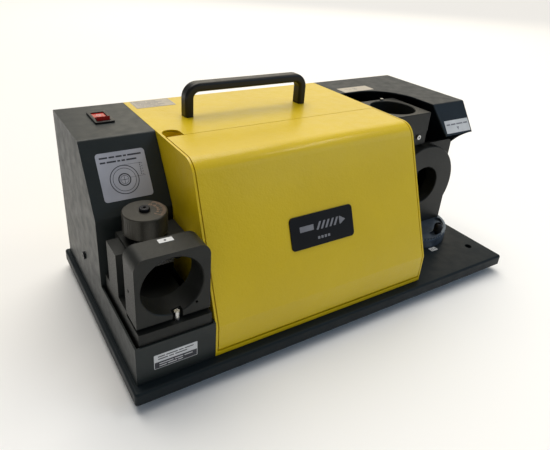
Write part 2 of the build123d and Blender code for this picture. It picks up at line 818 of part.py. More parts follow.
with BuildPart() as setting_block:
    with BuildSketch(Plane.XZ.offset(-block_front)) as face:
        with Locations(((head_left + head_right) / 2, (block_base_z + block_top_z) / 2)):
            Rectangle(head_width, block_top_z - block_base_z)
        fillet(face.vertices().group_by(Axis.Y)[-1], block_corner)
        with Locations((bore_x, bore_z)):
            Circle(port_bore, mode=Mode.SUBTRACT)
    extrude(amount=-block_depth)
    rims = setting_block.edges().filter_by(GeomType.CIRCLE).filter_by(
        lambda edge: abs(edge.radius - port_bore) < 0.01 and abs(edge.arc_center.Y - block_front) < 0.01
    )
    chamfer(rims, 0.8)
    screw_holes([down_from(p.origin.X, p.origin.Y, block_base_z) for p in block_screw_places], m5_hole, 15)
    box_between(
        (pin_x - 4.5, block_front - 1, block_base_z - 1),
        (pin_x + 4.5, block_front + 2 * index_pin_radius + 1, bore_z - port_bore + 2),
        mode=Mode.SUBTRACT,
    )
    screw_holes([facing(head_left, block_back - 9, bore_z - 4.3, (-1, 0, 0))], m3, 4)
    screw_holes([facing(bore_x + 20.5, block_front, bore_z - 22, (0, -1, 0))], 1.3, 6)
setting_block.part.label = "setting_block"
export_step(setting_block.part, "parts/setting_block.step")

block_screws = socket_screws(block_screw_places, m5, block_screw_length)
block_screws.label = "block_screws"
export_step(block_screws, "parts/block_screws.step")

# the pinion sits in a pocket of the bracket and drives the rack on the stop slide
pitch_radius = tooth_module * pinion_teeth / 2
addendum = 0.88 * tooth_module
dedendum = 1.2 * tooth_module
tooth_pitch = math.pi * tooth_module
tooth_width = tooth_pitch / 2 - backlash
flank = math.tan(math.radians(20))
rack_line = dial_x + pitch_radius
slide_left = rack_line + dedendum
slide_right = slide_left + slide_width
channel_top = bracket_bottom + slide_height + 0.4
slide_bottom = bracket_bottom + 0.2
pocket_radius = pitch_radius + addendum + 1.0

with BuildPart() as slide_bracket:
    box_between(
        (bracket_left, bracket_front, platform_top), (bracket_left + bracket_leg, bracket_back, bracket_top)
    )
    box_between((bracket_left, bracket_front, bracket_bottom), (bracket_right, bracket_back, bracket_top))
    box_between(
        (rack_line - addendum - 0.3, bracket_front - 1, bracket_bottom - 1),
        (slide_right + 0.3, bracket_back + 1, channel_top),
        mode=Mode.SUBTRACT,
    )
    screw_holes([down_from(dial_x, dial_y, bracket_bottom)], pocket_radius, channel_top - bracket_bottom)
    screw_holes([up_from(dial_x, dial_y, bracket_top)], spindle_radius + running, bracket_drop)
    screw_holes(
        [down_from(p.origin.X, p.origin.Y, bracket_bottom) for p in slide_screw_places], m4_hole, 8
    )
    with Locations(*bracket_screw_places):
        CounterBoreHole(m4_hole, 1.7 * m4 + 0.3, 2.5, bracket_leg)
    top_edges = slide_bracket.faces().sort_by(Axis.Z)[-1].outer_wire().edges()
    chamfer(top_edges, 0.6)
slide_bracket.part.label = "slide_bracket"
export_step(slide_bracket.part, "parts/slide_bracket.step")

with BuildPart() as slide_cover:
    box_between(
        (bracket_left + bracket_leg + 0.5, bracket_front + 1, slide_cover_bottom),
        (bracket_right - 2, bracket_back - 1, bracket_bottom),
    )
    screw_holes(slide_screw_places, m4_hole, slide_cover_thickness)
slide_cover.part.label = "slide_cover"
export_step(slide_cover.part, "parts/slide_cover.step")

bracket_screws = socket_screws(
    [p.offset(-2.5) for p in bracket_screw_places] + slide_screw_places, m4, 9.5, head_height=0.9
)
bracket_screws.label = "bracket_screws"
export_step(bracket_screws, "parts/bracket_screws.step")

stop_front = bracket_front - stop_gap - stop_plate[1]
slide_rear = bracket_back + 2.5
tooth_count = int((slide_rear - dial_y) / tooth_pitch) + 2
with BuildPart() as stop_slide:
    box_between(
        (slide_left, bracket_front - stop_gap - 0.5, slide_bottom),
        (slide_right, slide_rear, slide_bottom + slide_height - 0.2),
    )
    box_between(
        (bore_x - 6, stop_front, slide_bottom - 1),
        (slide_right, stop_front + stop_plate[1], slide_bottom - 1 + stop_plate[2]),
    )
    for step in range(tooth_count):
        tooth_y = dial_y + (step - 1.5) * tooth_pitch
        half_root = tooth_width / 2 + dedendum * flank
        half_tip = tooth_width / 2 - addendum * flank
        with BuildSketch(Plane.XY.offset(slide_bottom)):
            with BuildLine():
                Polyline(
                    (slide_left + 0.2, tooth_y - half_root),
                    (slide_left, tooth_y - half_root),
                    (rack_line - addendum, tooth_y - half_tip),
                    (rack_line - addendum, tooth_y + half_tip),
                    (slide_left, tooth_y + half_root),
                    (slide_left + 0.2, tooth_y + half_root),
                    close=True,
                )
            make_face()
        extrude(amount=slide_height - 0.2)
    screw_holes([facing(bore_x, stop_front, bore_z, (0, -1, 0))], stop_button_radius + static, 2)
stop_slide.part.label = "stop_slide"
export_step(stop_slide.part, "parts/stop_slide.step")

with BuildPart() as stop_button:
    with Locations(facing(bore_x, stop_front + 2, bore_z, (0, -1, 0))):
        Cylinder(stop_button_radius, 4.0, align=(Align.CENTER, Align.CENTER, Align.MIN))
    chamfer(stop_button.faces().sort_by(Axis.Y)[0].edges(), 0.5)
stop_button.part.label = "stop_button"
export_step(stop_button.part, "parts/stop_button.step")

knob_bottom = bracket_top + 0.3 + neck_height
knob_top = knob_bottom + knob_height
spindle_top = knob_top - 4.0
pinion_tooth = outline_sketch(
    [
        (pitch_radius - dedendum - 0.6, -tooth_width / 2 - dedendum * flank),
        (pitch_radius, -tooth_width / 2),
        (pitch_radius + addendum, -tooth_width / 2 + addendum * flank),
        (pitch_radius + addendum, tooth_width / 2 - addendum * flank),
        (pitch_radius, tooth_width / 2),
        (pitch_radius - dedendum - 0.6, tooth_width / 2 + dedendum * flank),
    ],
    {},
)
with BuildPart() as dial_spindle:
    with BuildSketch(Plane.XY.offset(slide_bottom)):
        with Locations((dial_x, dial_y)):
            Circle(pitch_radius - dedendum)
            with PolarLocations(0, pinion_teeth):
                add(pinion_tooth)
    extrude(amount=slide_height - 0.6)
    with BuildSketch(Plane.XY.offset(slide_bottom)):
        with Locations((dial_x, dial_y)):
            Circle(spindle_radius)
    extrude(amount=spindle_top - slide_bottom)
    screw_holes([up_from(dial_x, dial_y, spindle_top)], m4_hole, 13)
dial_spindle.part.label = "dial_spindle"
export_step(dial_spindle.part, "parts/dial_spindle.step")

with BuildPart() as dial_knob:
    with BuildSketch(Plane.XY.offset(knob_bottom - neck_height)):
        with Locations((dial_x, dial_y)):
            Circle(neck_radius)
    extrude(amount=neck_height)
    with BuildSketch(Plane.XY.offset(knob_bottom)):
        with Locations((dial_x, dial_y)):
            Circle(knob_radius)
    extrude(amount=knob_height)
    chamfer(dial_knob.faces().sort_by(Axis.Z)[-1].edges(), 0.8)
    screw_holes(
        [down_from(dial_x, dial_y, knob_bottom - neck_height)],
        spindle_radius + static,
        spindle_top - knob_bottom + neck_height,
    )
    screw_holes([up_from(dial_x, dial_y, knob_top)], m4 + 0.2, 5)
dial_knob.part.label = "dial_knob"
export_step(dial_knob.part, "parts/dial_knob.step")

dial_screw = socket_screws(
    [up_from(dial_x, dial_y, knob_top)], m4, 16, head=2.4, head_height=0.75, chamfered=True
)
dial_screw.label = "dial_screw"
export_step(dial_screw, "parts/dial_screw.step")

# ---------------------------------------------------------------- grinding wheel and its shaft
rim_drop = (wheel_width - wheel_land) * math.tan(math.radians(wheel_half_angle))
spin_axis = Axis((0, wheel_y, wheel_z), (1, 0, 0))
spin_plane = Plane(origin=(0, wheel_y, wheel_z), x_dir=(1, 0, 0), z_dir=(0, -1, 0))


def turned(points):
    """Ring or disc turned about the spindle, from half-section points (x, radius)."""
    with BuildPart() as ring:
        with BuildSketch(spin_plane):
            with BuildLine():
                Polyline(*points, close=True)
            make_face()
        revolve(axis=spin_axis)
    return ring.part


motor_shaft = turned(
    [
        (shaft_left, 0),
        (shaft_left, shaft_radius),
        (nut_right + 1.5, shaft_radius),
        (nut_right + 1.5, 0),
    ]
)
motor_shaft.label = "motor_shaft"
export_step(motor_shaft, "parts/motor_shaft.step")

shaft_seat = shaft_radius + static
wheel_flange = turned(
    [
        (hub_left, shaft_seat),
        (hub_left, hub_radius - 4),
        (hub_left + 5, hub_radius),
        (wheel_left, hub_radius),
        (wheel_left, shaft_seat),
    ]
)
wheel_flange.label = "wheel_flange"
export_step(wheel_flange, "parts/wheel_flange.step")

grinding_wheel = turned(
    [
        (wheel_left, shaft_seat),
        (wheel_left, wheel_radius),
        (wheel_left + wheel_land, wheel_radius),
        (wheel_right, wheel_radius - rim_drop),
        (wheel_right, wheel_radius - rim_drop - 8),
        (wheel_right - 7, wheel_radius - rim_drop - 10),
        (wheel_right - 7, nut_size + 4),
        (wheel_right, nut_size + 4),
        (wheel_right, shaft_seat),
    ]
)
grinding_wheel.label = "grinding_wheel"
export_step(grinding_wheel, "parts/grinding_wheel.step")

with BuildPart() as wheel_nut:
    with BuildSketch(Plane.YZ.offset(wheel_right)):
        with Locations((wheel_y, wheel_z)):
            RegularPolygon(nut_size, 6)
            Circle(shaft_seat, mode=Mode.SUBTRACT)
    extrude(amount=nut_height)
wheel_nut.part.label = "wheel_nut"
export_step(wheel_nut.part, "parts/wheel_nut.step")

# ---------------------------------------------------------------- motor
stator_left = frame_left + 13
stator_right = frame_right - 10
bore_radius = motor_radius - motor_wall
with BuildPart() as motor_frame:
    with BuildSketch(Plane.YZ.offset(frame_left)):
        with Locations((wheel_y, wheel_z)):
            Circle(motor_radius)
    extrude(amount=motor_length)
    for foot_x in motor_foot_xs:
        box_between(
            (foot_x, wheel_y - motor_foot[1] / 2, base_top),
            (foot_x + motor_foot[0], wheel_y + motor_foot[1] / 2, base_top + motor_foot[2]),
        )
        box_between(
            (foot_x, wheel_y - motor_foot[1] / 3.4, base_top),
            (foot_x + motor_foot[0], wheel_y + motor_foot[1] / 3.4, wheel_z - bore_radius + 8),
        )
    with BuildSketch(Plane.YZ.offset(frame_left - 1)):
        with Locations((wheel_y, wheel_z)):
            Circle(bore_radius)
    extrude(amount=motor_length + 2, mode=Mode.SUBTRACT)
    screw_holes([up_from(x, y, motor_foot_top) for x, y in motor_bolt_spots], m6 + 0.3, motor_foot[2])
motor_frame.part.label = "motor_frame"
export_step(motor_frame.part, "parts/motor_frame.step")

motor_bolts = socket_screws(
    [up_from(x, y, motor_foot_top) for x, y in motor_bolt_spots], m6, motor_foot[2] + 9
)
motor_bolts.label = "motor_bolts"
export_step(motor_bolts, "parts/motor_bolts.step")


def end_bell(inner_x, outer_x):
    """Cast end of the motor with a pocket for its bearing; inner_x is the side that meets the frame."""
    out = math.copysign(1.0, outer_x - inner_x)
    pocket = bearing_radius + static
    return turned(
        [
            (inner_x, motor_radius),
            (outer_x - out * 5, motor_radius),
            (outer_x, motor_radius - 8),
            (outer_x, shaft_radius + 1),
            (outer_x - out * 4, shaft_radius + 1),
            (outer_x - out * 4, pocket),
            (outer_x - out * (4 + bearing_width), pocket),
            (outer_x - out * (4 + bearing_width), bearing_radius + 5),
            (outer_x - out * 7, bearing_radius + 5),
            (outer_x - out * 7, bore_radius - 2),
            (inner_x, bore_radius - 2),
        ]
    )


end_bell_left = end_bell(frame_left, motor_left)
end_bell_left.label = "end_bell_left"
export_step(end_bell_left, "parts/end_bell_left.step")

end_bell_right = end_bell(frame_right, motor_right)
end_bell_right.label = "end_bell_right"
export_step(end_bell_right, "parts/end_bell_right.step")

bearing_starts = [motor_left + 4, motor_right - 4 - bearing_width]
with BuildPart() as motor_bearings:
    for start_x in bearing_starts:
        with BuildSketch(Plane.YZ.offset(start_x)):
            with Locations((wheel_y, wheel_z)):
                Circle(bearing_radius)
                Circle(shaft_radius + running, mode=Mode.SUBTRACT)
        extrude(amount=bearing_width)
motor_bearings.part.label = "motor_bearings"
export_step(motor_bearings.part, "parts/motor_bearings.step")

stator = turned(
    [
        (stator_left, rotor_radius + air_gap),
        (stator_left, bore_radius - static),
        (stator_right, bore_radius - static),
        (stator_right, rotor_radius + air_gap),
    ]
)
stator.label = "stator"
export_step(stator, "parts/stator.step")

with BuildPart() as windings:
    for start_x, reach in ((stator_left, -8.0), (stator_right, 8.0)):
        with BuildSketch(Plane.YZ.offset(start_x)):
            with Locations((wheel_y, wheel_z)):
                Circle(bore_radius - 5)
                Circle(rotor_radius + 3, mode=Mode.SUBTRACT)
        extrude(amount=reach)
windings.part.label = "windings"
export_step(windings.part, "parts/windings.step")

rotor = turned(
    [
        (stator_left, shaft_seat),
        (stator_left, rotor_radius),
        (stator_right, rotor_radius),
        (stator_right, shaft_seat),
    ]
)
rotor.label = "rotor"
export_step(rotor, "parts/rotor.step")

with BuildPart() as motor_fan:
    with BuildSketch(Plane.YZ.offset(fan_right - 3)):
        with Locations((wheel_y, wheel_z)):
            Circle(fan_radius)
            Circle(shaft_seat, mode=Mode.SUBTRACT)
    extrude(amount=3)
    with BuildSketch(Plane.YZ.offset(fan_right - 13)):
        with Locations((wheel_y, wheel_z)):
            Circle(shaft_radius + 5)
            Circle(shaft_seat, mode=Mode.SUBTRACT)
            with PolarLocations((fan_radius + shaft_radius + 5) / 2, 8):
                Rectangle(fan_radius - shaft_radius - 6, 2.0)
    extrude(amount=10)
motor_fan.part.label = "motor_fan"
export_step(motor_fan.part, "parts/motor_fan.step")

with BuildPart() as capacitor:
    with BuildSketch(Plane.YZ.offset(x_seam_left + 8)):
        with Locations((y_rear - capacitor_gap - capacitor_radius, base_top + capacitor_radius)):
            Circle(capacitor_radius)
    extrude(amount=capacitor_length)
    with BuildSketch(Plane.YZ.offset(x_seam_left + 8)):
        with Locations((y_rear - capacitor_gap - capacitor_radius, base_top)):
            Rectangle(2 * capacitor_radius, 6, align=(Align.CENTER, Align.MIN))
    extrude(amount=capacitor_length)
capacitor.part.label = "capacitor"
export_step(capacitor.part, "parts/capacitor.step")

# ---------------------------------------------------------------- wheel guard
boss_radius = 6.0
boss_length = 8.0
boss_spots = [
    (y, z) for y in (guard_front + 9, guard_back - 9) for z in (guard_floor + 9, guard_top - 22)
]
guard_cover_thickness = 3.0
guard_screw_places = [facing(guard_right + guard_cover_thickness, y, z, (1, 0, 0)) for y, z in boss_spots]
window_half = seat_bore + 4.0
port_screw_x, port_screw_y = top_port_screws[0] / 2, top_port_screws[1] / 2
port_screw_places = [
    down_from(top_port_x + sx * port_screw_x, top_port_y + sy * port_screw_y, guard_top - guard_wall)
    for sx in (-1, 1)
    for sy in (-1, 1)
]
front_screw_place = facing(top_port_x + 18.0, throat_front, guard_top - 6.8, (0, -1, 0))

with BuildPart() as wheel_guard:
    box_between((guard_left, guard_front, guard_floor), (guard_right, guard_back, guard_top))
    offset(amount=-guard_wall, openings=wheel_guard.faces().sort_by(Axis.X)[-1])
    with BuildSketch(Plane.YZ.offset(guard_right - boss_length)):
        with Locations(*boss_spots):
            Circle(boss_radius)
    extrude(amount=boss_length)
    for foot_x in guard_foot_xs:
        with Locations((foot_x, wheel_y + 10, base_top)):
            Box(*guard_foot, guard_floor_height + 1, align=(Align.CENTER, Align.CENTER, Align.MIN))
    box_between(
        (swivel_x - window_half, guard_front - 1, seat_z - window_half),
        (guard_right - guard_wall, guard_front + guard_wall + 1, seat_z + window_half),
        mode=Mode.SUBTRACT,
    )
    box_between(
        (guard_left, throat_front, guard_top - throat_drop),
        (throat_right, guard_front + guard_wall, guard_top),
    )
    box_between(
        (guard_left + throat_wall, throat_front + throat_wall, guard_top - throat_drop - 1),
        (throat_right - throat_wall, guard_front + guard_wall + 1, guard_top - guard_wall),
        mode=Mode.SUBTRACT,
    )
    box_between(
        (guard_left + guard_wall, guard_front - 1, seat_z - window_half),
        (throat_right - guard_wall, guard_front + guard_wall + 1, guard_top - throat_drop),
        mode=Mode.SUBTRACT,
    )
    with BuildSketch(Plane.XY.offset(guard_top - 2 * guard_wall)):
        with Locations((top_port_x, top_port_y)):
            Circle(top_port_bore + 0.5)
    extrude(amount=3 * guard_wall, mode=Mode.SUBTRACT)
    with BuildSketch(Plane.YZ.offset(guard_left - 1)):
        with Locations((wheel_y, wheel_z)):
            Circle(shaft_radius + 3)
    extrude(amount=guard_wall + 2, mode=Mode.SUBTRACT)
    screw_holes([down_from(x, y, base_top) for x, y in guard_base_spots], m6_hole, base_screw_bite)
    screw_holes([p.offset(-guard_cover_thickness) for p in guard_screw_places], m4_hole, 12)
    screw_holes(port_screw_places, m3_hole, guard_wall)
    screw_holes([front_screw_place], m3_hole, throat_wall)
wheel_guard.part.label = "wheel_guard"
export_step(wheel_guard.part, "parts/wheel_guard.step")

with BuildPart() as guard_side_cover:
    with BuildSketch(Plane.YZ.offset(guard_right)):
        with Locations(((guard_front + guard_back) / 2, (guard_floor + guard_top) / 2)):
            RectangleRounded(guard_back - guard_front - 1, guard_top - guard_floor - 1, 3)
    extrude(amount=guard_cover_thickness)
    screw_holes(guard_screw_places, m4_hole, guard_cover_thickness)
guard_side_cover.part.label = "guard_side_cover"
export_step(guard_side_cover.part, "parts/guard_side_cover.step")

guard_screws = socket_screws(guard_screw_places, m4, guard_cover_thickness + 7)
guard_screws.label = "guard_screws"
export_step(guard_screws, "parts/guard_screws.step")

guard_front_screw = socket_screws([front_screw_place], m3, throat_wall, head=1.9, head_height=0.7)
guard_front_screw.label = "guard_front_screw"
export_step(guard_front_screw, "parts/guard_front_screw.step")

# ---------------------------------------------------------------- top port
port_pin_place = up_from(top_port_x + port_pin_offset[0], top_port_y + port_pin_offset[1], port_top)
with BuildPart() as top_port_block:
    with Locations((top_port_x, top_port_y, guard_top)):
        Box(*top_port_size, align=(Align.CENTER, Align.CENTER, Align.MIN))
    fillet(top_port_block.edges().filter_by(Axis.Z), 2.0)
    with BuildSketch(Plane.XY.offset(guard_top)):
        with Locations((top_port_x, top_port_y)):
            Circle(top_port_bore)
    extrude(amount=top_port_size[2], mode=Mode.SUBTRACT)
    top_rims = top_port_block.faces().sort_by(Axis.Z)[-1].edges()
    chamfer(top_rims, 0.8)
    screw_holes([down_from(p.origin.X, p.origin.Y, guard_top) for p in port_screw_places], m3_hole, 12)
    screw_holes([port_pin_place], m4 + static, 8)
top_port_block.part.label = "top_port_block"
export_step(top_port_block.part, "parts/top_port_block.step")

port_screws = socket_screws(port_screw_places, m3, guard_wall + 11)
port_screws.label = "port_screws"
export_step(port_screws, "parts/port_screws.step")

with BuildPart() as index_pins:
    with Locations(port_pin_place.offset(2.0)):
        Cylinder(m4, 9.5, align=(Align.CENTER, Align.CENTER, Align.MAX))
    with Locations((pin_x, pin_y, base_top + head_base_height - 7.5)):
        Cylinder(index_pin_radius, 16.0, align=(Align.CENTER, Align.CENTER, Align.MIN))
index_pins.part.label = "index_pins"
export_step(index_pins.part, "parts/index_pins.step")

# ---------------------------------------------------------------- swivelling point port
seat_screw_reach = 30.5
seat_screw_y = swivel_y - seat_front / 2 + 1.5
seat_screw_radius = math.hypot(seat_screw_reach, seat_screw_y - swivel_y)
seat_screw_places = [down_from(swivel_x + s * seat_screw_reach, seat_screw_y, plate_bottom) for s in (-1, 1)]
groove_half = 1.7 * m5 + 0.8
groove_depth = 2 * m5 + 1.5
clamp_radians = math.radians(clamp_angle)
clamp_x = swivel_x + slot_radius * math.cos(clamp_radians)
clamp_y = swivel_y + slot_radius * math.sin(clamp_radians)

with BuildPart() as swivel_base:
    with BuildSketch(Plane.XY.offset(base_top)):
        with Locations((swivel_x, swivel_y)):
            Circle(swivel_radius)
    extrude(amount=swivel_base_height)
    chamfer(swivel_base.faces().sort_by(Axis.Z)[-1].edges(), 0.4)
    with BuildSketch(Plane.XY.offset(swivel_base_top)):
        with Locations((swivel_x, swivel_y)):
            Circle(seat_screw_radius + groove_half)
            Circle(seat_screw_radius - groove_half, mode=Mode.SUBTRACT)
    extrude(amount=-groove_depth, mode=Mode.SUBTRACT)
    screw_holes([down_from(x, y, base_top) for x, y in swivel_base_spots], m6_hole, base_screw_bite)
    screw_holes([up_from(swivel_x, swivel_y, swivel_base_top)], pivot_radius + static, swivel_base_height - 2)
    screw_holes([up_from(clamp_x, clamp_y, swivel_base_top)], m6_hole, 9)
swivel_base.part.label = "swivel_base"
export_step(swivel_base.part, "parts/swivel_base.step")

with BuildPart() as swivel_pivot:
    with Locations((swivel_x, swivel_y, base_top + 2)):
        Cylinder(
            pivot_radius,
            plate_top - base_top - 2.3,
            align=(Align.CENTER, Align.CENTER, Align.MIN),
        )
swivel_pivot.part.label = "swivel_pivot"
export_step(swivel_pivot.part, "parts/swivel_pivot.step")

with BuildPart() as swivel_plate:
    with BuildSketch(Plane.XY.offset(plate_bottom)):
        with Locations((swivel_x, swivel_y)):
            Circle(swivel_radius)
            Circle(pivot_radius + running, mode=Mode.SUBTRACT)
        with BuildLine(mode=Mode.PRIVATE) as slot_path:
            CenterArc((0, 0), slot_radius, slot_angles[0], slot_angles[1] - slot_angles[0])
        with Locations((swivel_x, swivel_y)):
            SlotArc(slot_path.edges()[0], 2 * slot_half_width, mode=Mode.SUBTRACT)
    extrude(amount=swivel_plate_thickness)
    screw_holes(seat_screw_places, m5_hole, swivel_plate_thickness)
swivel_plate.part.label = "swivel_plate"
export_step(swivel_plate.part, "parts/swivel_plate.step")

with BuildPart() as swivel_seat:
    with BuildSketch(Plane.XZ.offset(-seat_face)):
        with Locations((swivel_x, seat_z)):
            Circle(seat_radius)
        with Locations((swivel_x, plate_top)):
            Rectangle(2 * neck_half_width, seat_z - plate_top, align=(Align.CENTER, Align.MIN))
        with Locations((swivel_x, seat_z)):
            Circle(seat_bore, mode=Mode.SUBTRACT)
    extrude(amount=-seat_thickness)
    with BuildSketch(Plane.XZ.offset(-seat_rear)):
        with Locations((swivel_x, plate_top + 6 + shield_size[1] / 2)):
            RectangleRounded(*shield_size, shield_corner)
        with Locations((swivel_x, plate_top)):
            Rectangle(2 * neck_half_width, 8, align=(Align.CENTER, Align.MIN))
        with Locations((swivel_x, seat_z)):
            Circle(seat_bore, mode=Mode.SUBTRACT)
    extrude(amount=-shield_thickness)
    front_rims = swivel_seat.edges().filter_by(GeomType.CIRCLE).filter_by(
        lambda edge: abs(edge.arc_center.Y - seat_face) < 0.01
    )
    chamfer(front_rims, 0.8)
    screw_holes([down_from(p.origin.X, p.origin.Y, plate_top) for p in seat_screw_places], m5_hole, 11)
swivel_seat.part.label = "swivel_seat"
export_step(swivel_seat.part, "parts/swivel_seat.step")

seat_screws = socket_screws(seat_screw_places, m5, swivel_plate_thickness + 10)
seat_screws.label = "seat_screws"
export_step(seat_screws, "parts/seat_screws.step")

clamp_screw = socket_screws(
    [up_from(clamp_x, clamp_y, plate_top + swivel_gap)], m6, 11, head_height=1.9, chamfered=True
)
clamp_screw.label = "clamp_screw"
export_step(clamp_screw, "parts/clamp_screw.step")

# ---------------------------------------------------------------- right housing
flange_top_y = y_front + flange_front
flange_low_y = flange_top_y - flange_run
flange_low_z = top - flange_drop
cut_y = wheel_y - wheel_radius + 1.0
cut_z = wheel_z - 12.5
arch_x = x_seam_right + arch_reach
arch_y = y_rear - arch_back
with BuildSketch() as side_outline:
    with BuildLine():
        Polyline(
            (flange_low_y, flange_low_z),
            (flange_top_y, top),
            (y_rear, top),
            (y_rear, base_top),
            (cut_y, base_top),
            (cut_y, cut_z),
        )
        RadiusArc((cut_y, cut_z), (flange_low_y, flange_low_z), -side_cut_radius)
    make_face()
    for corner_at in ((flange_top_y, top, 0), (y_rear, top, 0)):
        fillet(side_outline.vertices().sort_by_distance(corner_at)[0], bend)
with BuildSketch() as side_hollow:
    with BuildLine():
        Polyline(
            (flange_low_y - flange_run / 2, flange_low_z - flange_drop / 2),
            (flange_top_y, top),
            (y_rear, top),
            (y_rear, base_top - 2 * sheet),
            (flange_low_y - flange_run / 2, base_top - 2 * sheet),
            close=True,
        )
    make_face()
    for corner_at in ((flange_top_y, top, 0), (y_rear, top, 0)):
        fillet(side_hollow.vertices().sort_by_distance(corner_at)[0], bend)
    offset(amount=-sheet, mode=Mode.REPLACE)


def sheet_edges(part, out):
    """Long edges on the right-hand end of a block that follows the roof and rear of the housing."""
    end = part.faces().sort_by(Axis.X)[-1]
    return end.edges().filter_by(
        lambda edge: edge.center().Z > flange_low_z + 1 or abs(edge.center().Y - (y_rear - out)) < 0.01
    )


with BuildPart() as right_hollow:
    with BuildSketch(Plane.YZ.offset(x_seam_right - 1)):
        add(side_hollow.sketch_local)
    extrude(amount=x_right - sheet - x_seam_right + 1)
    fillet(sheet_edges(right_hollow, sheet), bend - sheet)

with BuildPart() as right_housing:
    with BuildSketch(Plane.YZ.offset(x_seam_right + seam_gap)):
        add(side_outline.sketch_local)
    extrude(amount=x_right - x_seam_right - seam_gap)
    fillet(sheet_edges(right_housing, 0), bend)
    add(right_hollow.part, mode=Mode.SUBTRACT)
    with BuildSketch(Plane.XY.offset(flange_low_z - 2)):
        with BuildLine():
            Polyline(
                (x_seam_right - 1, arch_y),
                (arch_x - arch_corner, arch_y),
                (arch_x, arch_y - arch_corner),
                (arch_x, flange_top_y),
                (arch_x + flange_taper, flange_low_y - 2),
                (arch_x + flange_taper, flange_low_y - 20),
                (x_seam_right - 1, flange_low_y - 20),
                close=True,
            )
        make_face()
        with Locations((arch_x - arch_corner, arch_y - arch_corner)):
            Circle(arch_corner)
    extrude(amount=flange_drop + 5, mode=Mode.SUBTRACT)
    screw_holes(cover_screw_places[4:5], m4_hole, 2 * sheet)
right_housing.part.label = "right_housing"
export_step(right_housing.part, "parts/right_housing.step")
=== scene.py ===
"""Bench drill bit sharpener: looks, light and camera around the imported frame.

Metres, +Z up, +X to the right and +Y to the back. Sizes on a face, and those times MM, are in mm.
"""

import json
import math

import bmesh
import bpy
from mathutils import Matrix, Vector


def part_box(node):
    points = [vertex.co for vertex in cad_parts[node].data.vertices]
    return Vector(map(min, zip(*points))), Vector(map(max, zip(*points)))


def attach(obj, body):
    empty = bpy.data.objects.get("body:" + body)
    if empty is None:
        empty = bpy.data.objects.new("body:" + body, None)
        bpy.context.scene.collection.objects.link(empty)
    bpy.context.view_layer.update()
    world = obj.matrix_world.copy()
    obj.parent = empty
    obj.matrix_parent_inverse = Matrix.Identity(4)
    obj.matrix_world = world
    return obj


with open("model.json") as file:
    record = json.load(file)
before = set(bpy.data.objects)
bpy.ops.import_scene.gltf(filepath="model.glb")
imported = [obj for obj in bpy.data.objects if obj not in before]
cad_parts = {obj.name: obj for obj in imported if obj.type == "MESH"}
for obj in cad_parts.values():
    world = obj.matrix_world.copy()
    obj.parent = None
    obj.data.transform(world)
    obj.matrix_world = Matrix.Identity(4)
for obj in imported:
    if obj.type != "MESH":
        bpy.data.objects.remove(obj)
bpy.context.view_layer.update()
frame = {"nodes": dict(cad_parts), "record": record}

MM = 0.001
RIGHT, BACK, UP = (1, 0, 0), (0, 1, 0), (0, 0, 1)


# ------------------------------------------------------------------ node material helpers
# most values of a noise texture lie in this range
NOISE_LOW, NOISE_HIGH = 0.3, 0.7
# the Mix node has sockets for every kind of data: these are the ones for colours
MIX_FACTOR, MIX_FIRST, MIX_SECOND, MIX_RESULT = 0, 6, 7, 2


